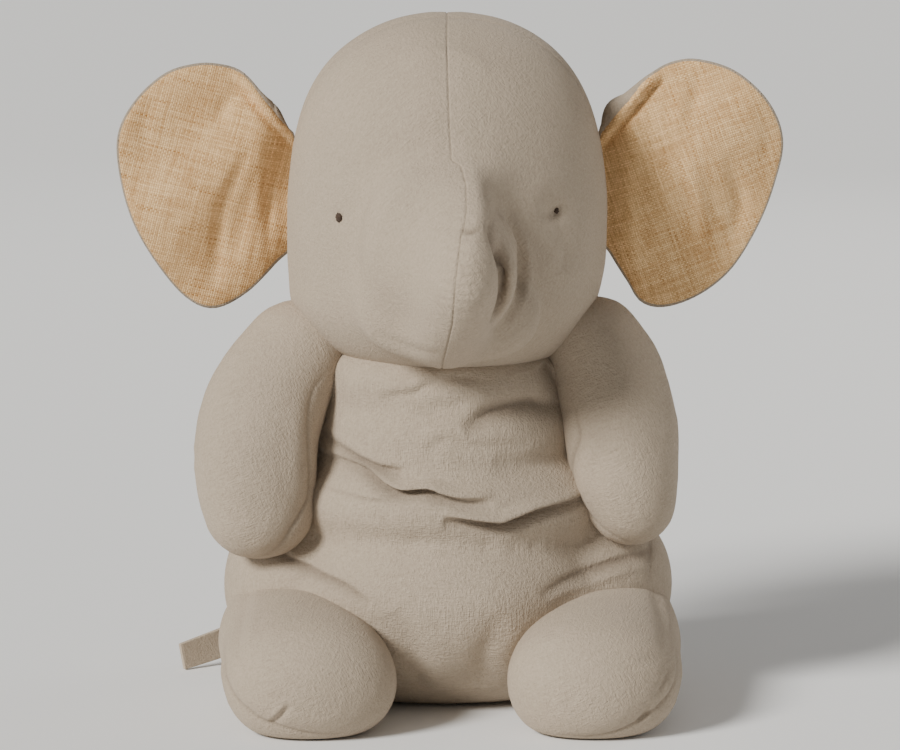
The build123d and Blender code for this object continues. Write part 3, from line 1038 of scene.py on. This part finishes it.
def strap():
    """A flat strap with rounded edges, drawn along a soft curve, a little narrower at its end."""
    alone()
    bpy.ops.mesh.primitive_cube_add(size=1)
    piece = bpy.context.object
    piece.name = "tail_cloth"
    piece.scale = (TAIL_LENGTH * MM, TAIL_THICKNESS * MM, TAIL_WIDTH * MM)
    settle()
    bpy.ops.object.mode_set(mode="EDIT")
    bpy.ops.mesh.select_all(action="SELECT")
    bpy.ops.mesh.subdivide(number_cuts=5)
    bpy.ops.object.mode_set(mode="OBJECT")
    use(piece, "BEVEL", width=0.9 * MM, segments=2, limit_method="ANGLE")
    points = places(piece)
    along = (TAIL_LENGTH / 2 - points[:, 0]) / TAIL_LENGTH
    path = through(TAIL_PATH, 30)
    run = np.linspace(0, 1, len(path))
    middle = np.c_[[np.interp(along, run, path[:, i]) for i in range(3)]].T
    ahead = np.gradient(path, axis=0)
    ahead = np.c_[[np.interp(along, run, ahead[:, i]) for i in range(3)]].T
    ahead /= np.linalg.norm(ahead, axis=1, keepdims=True)
    up = np.array([0, 0, 1.0]) - ahead * ahead[:, 2:3]
    up /= np.linalg.norm(up, axis=1, keepdims=True)
    side = np.cross(ahead, up)
    narrow = 1 - 0.12 * smooth_step(along, 0.94, 1.0)
    points = middle + up * (points[:, 2] * narrow)[:, None] - side * points[:, 1:2]
    put(piece, points)
    alone(piece)
    bpy.ops.object.mode_set(mode="EDIT")
    bpy.ops.mesh.select_all(action="SELECT")
    bpy.ops.mesh.normals_make_consistent(inside=False)
    bpy.ops.object.mode_set(mode="OBJECT")
    fine(piece, 2)
    return piece


tail = finish_piece(strap(), TAIL_LINEN)

# %% [markdown]
# ## What is hidden, and what rides on what
#
# On the real toy the cloth bends at the limb roots. Here the solid parts that the covers stand in
# for are hidden, and each cover's place is moved into its mesh. Only the eyes simply ride on the head.

# %% Hiding the solids and baking the covers
def metres(x, y, z):
    """A place on the loose toy, in millimetres, as metres on the settled one."""
    return (x * MM, y * MM, (z - SETTLE) * MM)


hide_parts("chest_panel", "pelvis_panel", "back_panel_left", "back_panel_right", "body_filling")
metres(0, 0, 162)
metres(0, 0, 184)
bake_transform(body)

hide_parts("head_panel_left", "head_panel_right", "head_back_panel", "head_filling",
            "trunk_panel_left", "trunk_panel_right", "trunk_filling")
metres(0, -72, 246)
metres(0, -100, 236)
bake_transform(head)

for side in ("left", "right"):
    sign = 1 if side == "left" else -1
    arm, leg = arms[side], legs[side]
    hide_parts(*(f"arm_{part}_{side}" for part in ("front_panel", "back_panel", "filling")))
    metres(sign * 72, -8, 184)
    metres(sign * 84, -14, 156)
    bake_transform(arm)
    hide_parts(*(f"leg_{part}_{side}" for part in ("upper_panel", "sole_panel", "filling")))
    metres(sign * 78, -6, 40)
    metres(sign * 72, -52, 38)
    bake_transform(leg)
    lining, lining_area, backing, backing_area = ears[side]
    for cloth, area, nodes in (
        (lining, lining_area, [f"ear_lining_{side}", f"ear_wadding_{side}"]),
        (backing, backing_area, [f"ear_back_{side}"]),
    ):
        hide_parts(*nodes)
        metres(sign * 76, 14, 250)
        metres(sign * 96, 10, 250)
        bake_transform(cloth)
    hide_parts(f"eye_knot_{side}")
    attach(eyes[side], "head")

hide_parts("tail_strap")
metres(2, 75, 50)
metres(-14, 76, 46)
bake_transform(tail)

# %% [markdown]
# ## Room, light and camera
#
# A wide pale floor, a soft sun like light from a window at the upper left, a weak bounce from the
# right and a faint glow from behind. The picture's left side is lit and its right side falls into
# gentle shade.

# %% Floor, lamps and camera
alone()
bpy.ops.mesh.primitive_plane_add(size=60, location=(0, 0, 0))
floor = bpy.context.object
floor.name = "floor"
paper = Finish("pale_paper")
paper.feed(Base_Color=(0.9, 0.9, 0.89, 1), Roughness=0.95)
floor.data.materials.append(paper.material)


def lamp(name, place, target, size, power, tint=(1, 1, 1)):
    """A soft rectangular lamp that points at a target."""
    light = bpy.data.lights.new(name, "AREA")
    light.size = size
    light.energy = power
    light.color = tint
    holder = bpy.data.objects.new(name, light)
    bpy.context.collection.objects.link(holder)
    holder.location = place
    holder.rotation_euler = (Vector(target) - Vector(place)).to_track_quat("-Z", "Y").to_euler()


sun = bpy.data.lights.new("window", "SUN")
sun.energy = 4.4
sun.angle = math.radians(17)
sun.color = (1.0, 0.985, 0.955)
sun_holder = bpy.data.objects.new("window", sun)
bpy.context.collection.objects.link(sun_holder)
sun_holder.rotation_euler = Vector((1.15, 1.0, -0.95)).to_track_quat("-Z", "Y").to_euler()
lamp("bounce", (1.7, 0.7, 0.6), (0.05, 0, 0.15), 0.9, 7, (1.0, 0.98, 0.96))
lamp("back_glow", (0.4, 1.9, 1.2), (0, 0, 0.2), 1.4, 3)
world = bpy.data.worlds.new("soft_sky")
bpy.context.scene.world = world
world.use_nodes = True
world.node_tree.nodes["Background"].inputs["Color"].default_value = (1, 0.99, 0.97, 1)
world.node_tree.nodes["Background"].inputs["Strength"].default_value = 0.24

VIEW_UP = math.radians(9.0)
VIEW_DISTANCE = 1.8
VIEW_WIDTH = 0.4365  # width of the picture at the toy, m
AIM = Vector((0.0015, 0, 0.156))
camera_data = bpy.data.cameras.new("camera")
camera = bpy.data.objects.new("camera", camera_data)
bpy.context.collection.objects.link(camera)
camera.location = AIM + VIEW_DISTANCE * Vector((0, -math.cos(VIEW_UP), math.sin(VIEW_UP)))
camera.rotation_euler = (AIM - camera.location).to_track_quat("-Z", "Y").to_euler()
camera_data.sensor_width = 36
camera_data.lens = 36 * VIEW_DISTANCE / VIEW_WIDTH
bpy.context.scene.camera = camera
